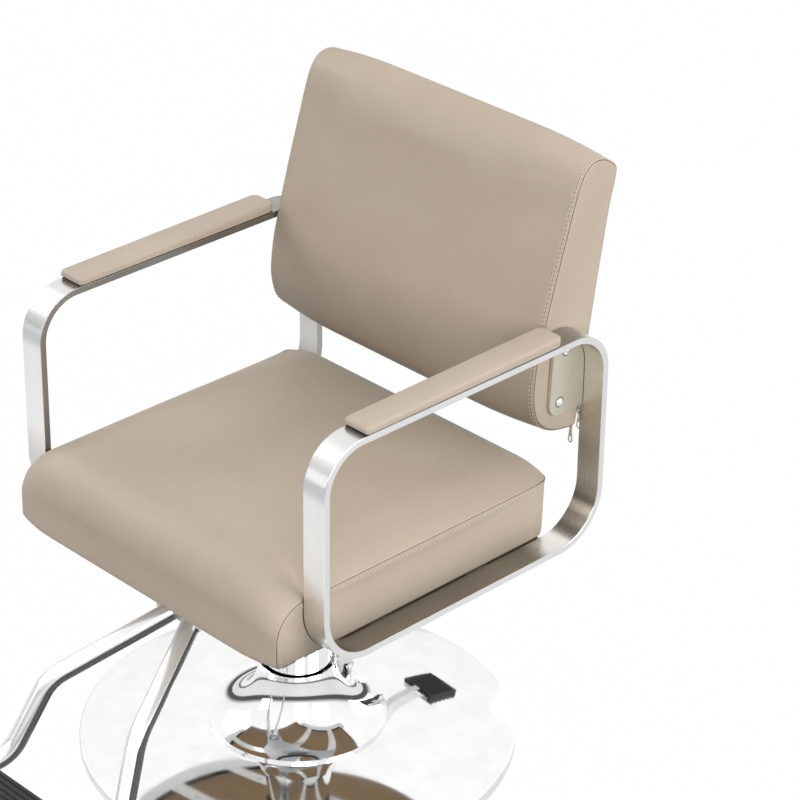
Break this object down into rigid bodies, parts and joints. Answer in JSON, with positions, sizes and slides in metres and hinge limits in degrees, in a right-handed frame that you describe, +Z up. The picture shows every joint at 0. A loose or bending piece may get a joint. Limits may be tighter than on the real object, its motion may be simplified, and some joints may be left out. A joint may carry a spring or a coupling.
{
  "type": "hairdressing chair",
  "caption": "Salon styling chair with padded seat and back between flat-bar arm loops, on a swivelling foot-pumped hydraulic column with a round base and a splayed tubular footrest.",
  "frame": {"origin": "on the floor at the axis of the column, at the middle of the base mat's underside", "axes": "+Z up along the column; the sitter faces -Y with the lift down and the seat straight; +X is the sitter's left; the pedal points to +Y"},
  "size_m": [0.6299, 0.895, 0.914],
  "materials": {
    "taupe_leather": "satin",
    "brushed_stainless": "satin",
    "chrome": "polished",
    "steel_zinc": "satin",
    "black_rubber": "matte",
    "black_plastic": "matte",
    "plywood": "matte",
    "zip_tape": "matte"
  },
  "bodies": {
    "base": {"base_mat": "black_rubber", "base_plate": "steel_zinc", "base_cover": "chrome", "pump_housing": "chrome", "pump_shroud": "chrome", "pump_collar": "black_plastic", "pump_bolts": "steel_zinc", "pedal_bracket": "steel_zinc", "pedal_pin": "steel_zinc"},
    "pedal": {"pump_pedal": "chrome", "pedal_rubber": "black_rubber"},
    "plunger": {"pump_plunger": "steel_zinc"},
    "lift": {"piston_rod": "chrome", "swivel_washer": "black_plastic"},
    "seat": {"mounting_plate": "steel_zinc", "mount_bolts": "steel_zinc", "tee_nuts": "steel_zinc", "seat_rail_front": "brushed_stainless", "seat_rail_rear": "brushed_stainless", "rail_screws": "steel_zinc", "seat_board": "plywood", "seat_cushion": "taupe_leather", "arm_loop_left": "brushed_stainless", "arm_loop_right": "brushed_stainless", "gusset_plate_left": "brushed_stainless", "gusset_plate_right": "brushed_stainless", "gusset_screws_left": "chrome", "gusset_screws_right": "chrome", "pad_board_left": "black_plastic", "pad_board_right": "black_plastic", "arm_pad_left": "taupe_leather", "arm_pad_right": "taupe_leather", "pad_screws_left": "steel_zinc", "pad_screws_right": "steel_zinc", "back_cushion": "taupe_leather", "back_core": "plywood", "zip_chain": "zip_tape", "zip_slider_end": "chrome", "footrest_bracket": "steel_zinc", "footrest_leg_left": "chrome", "footrest_leg_right": "chrome", "footrest_plate": "steel_zinc", "footrest_rubber": "black_rubber", "footrest_screws": "chrome", "footrest_plugs": "black_plastic"},
    "zip_slide": {"zip_slider_low": "chrome"},
    "zip_tab_low": {"zip_pull_low": "chrome"},
    "zip_tab_end": {"zip_pull_end": "chrome"}
  },
  "joints": [
    {"name": "pedal_press", "type": "hinge", "parent": "base", "child": "pedal", "pos_m": [0, 0.064, 0.084], "axis": [-1, 0, 0], "range_deg": [0, 14], "stiffness_Nm_per_rad": 4, "springref_deg": -25.78},
    {"name": "plunger_press", "type": "slide", "parent": "base", "child": "plunger", "axis": [0, 0, -1], "range_m": [0, 0.0079]},
    {"name": "column_lift", "type": "slide", "parent": "base", "child": "lift", "axis": [0, 0, 1], "range_m": [0, 0.14]},
    {"name": "seat_swivel", "type": "hinge", "parent": "lift", "child": "seat", "pos_m": [0, 0, 0.315], "axis": [0, 0, 1], "continuous": true},
    {"name": "zip_run", "type": "slide", "parent": "seat", "child": "zip_slide", "axis": [-1, 0, 0], "range_m": [0, 0.475]},
    {"name": "zip_tab_low_swing", "type": "hinge", "parent": "zip_slide", "child": "zip_tab_low", "pos_m": [0.2469, 0.28686, 0.51433], "axis": [1, 0, 0], "range_deg": [-8, 100]},
    {"name": "zip_tab_end_swing", "type": "hinge", "parent": "seat", "child": "zip_tab_end", "pos_m": [0.257, 0.29096, 0.53909], "axis": [1, 0, 0], "range_deg": [-8, 100]}
  ],
  "couplings": [
    {"joint": "plunger_press", "follows": "pedal_press", "m_per_rad": 0.03216}
  ]
}
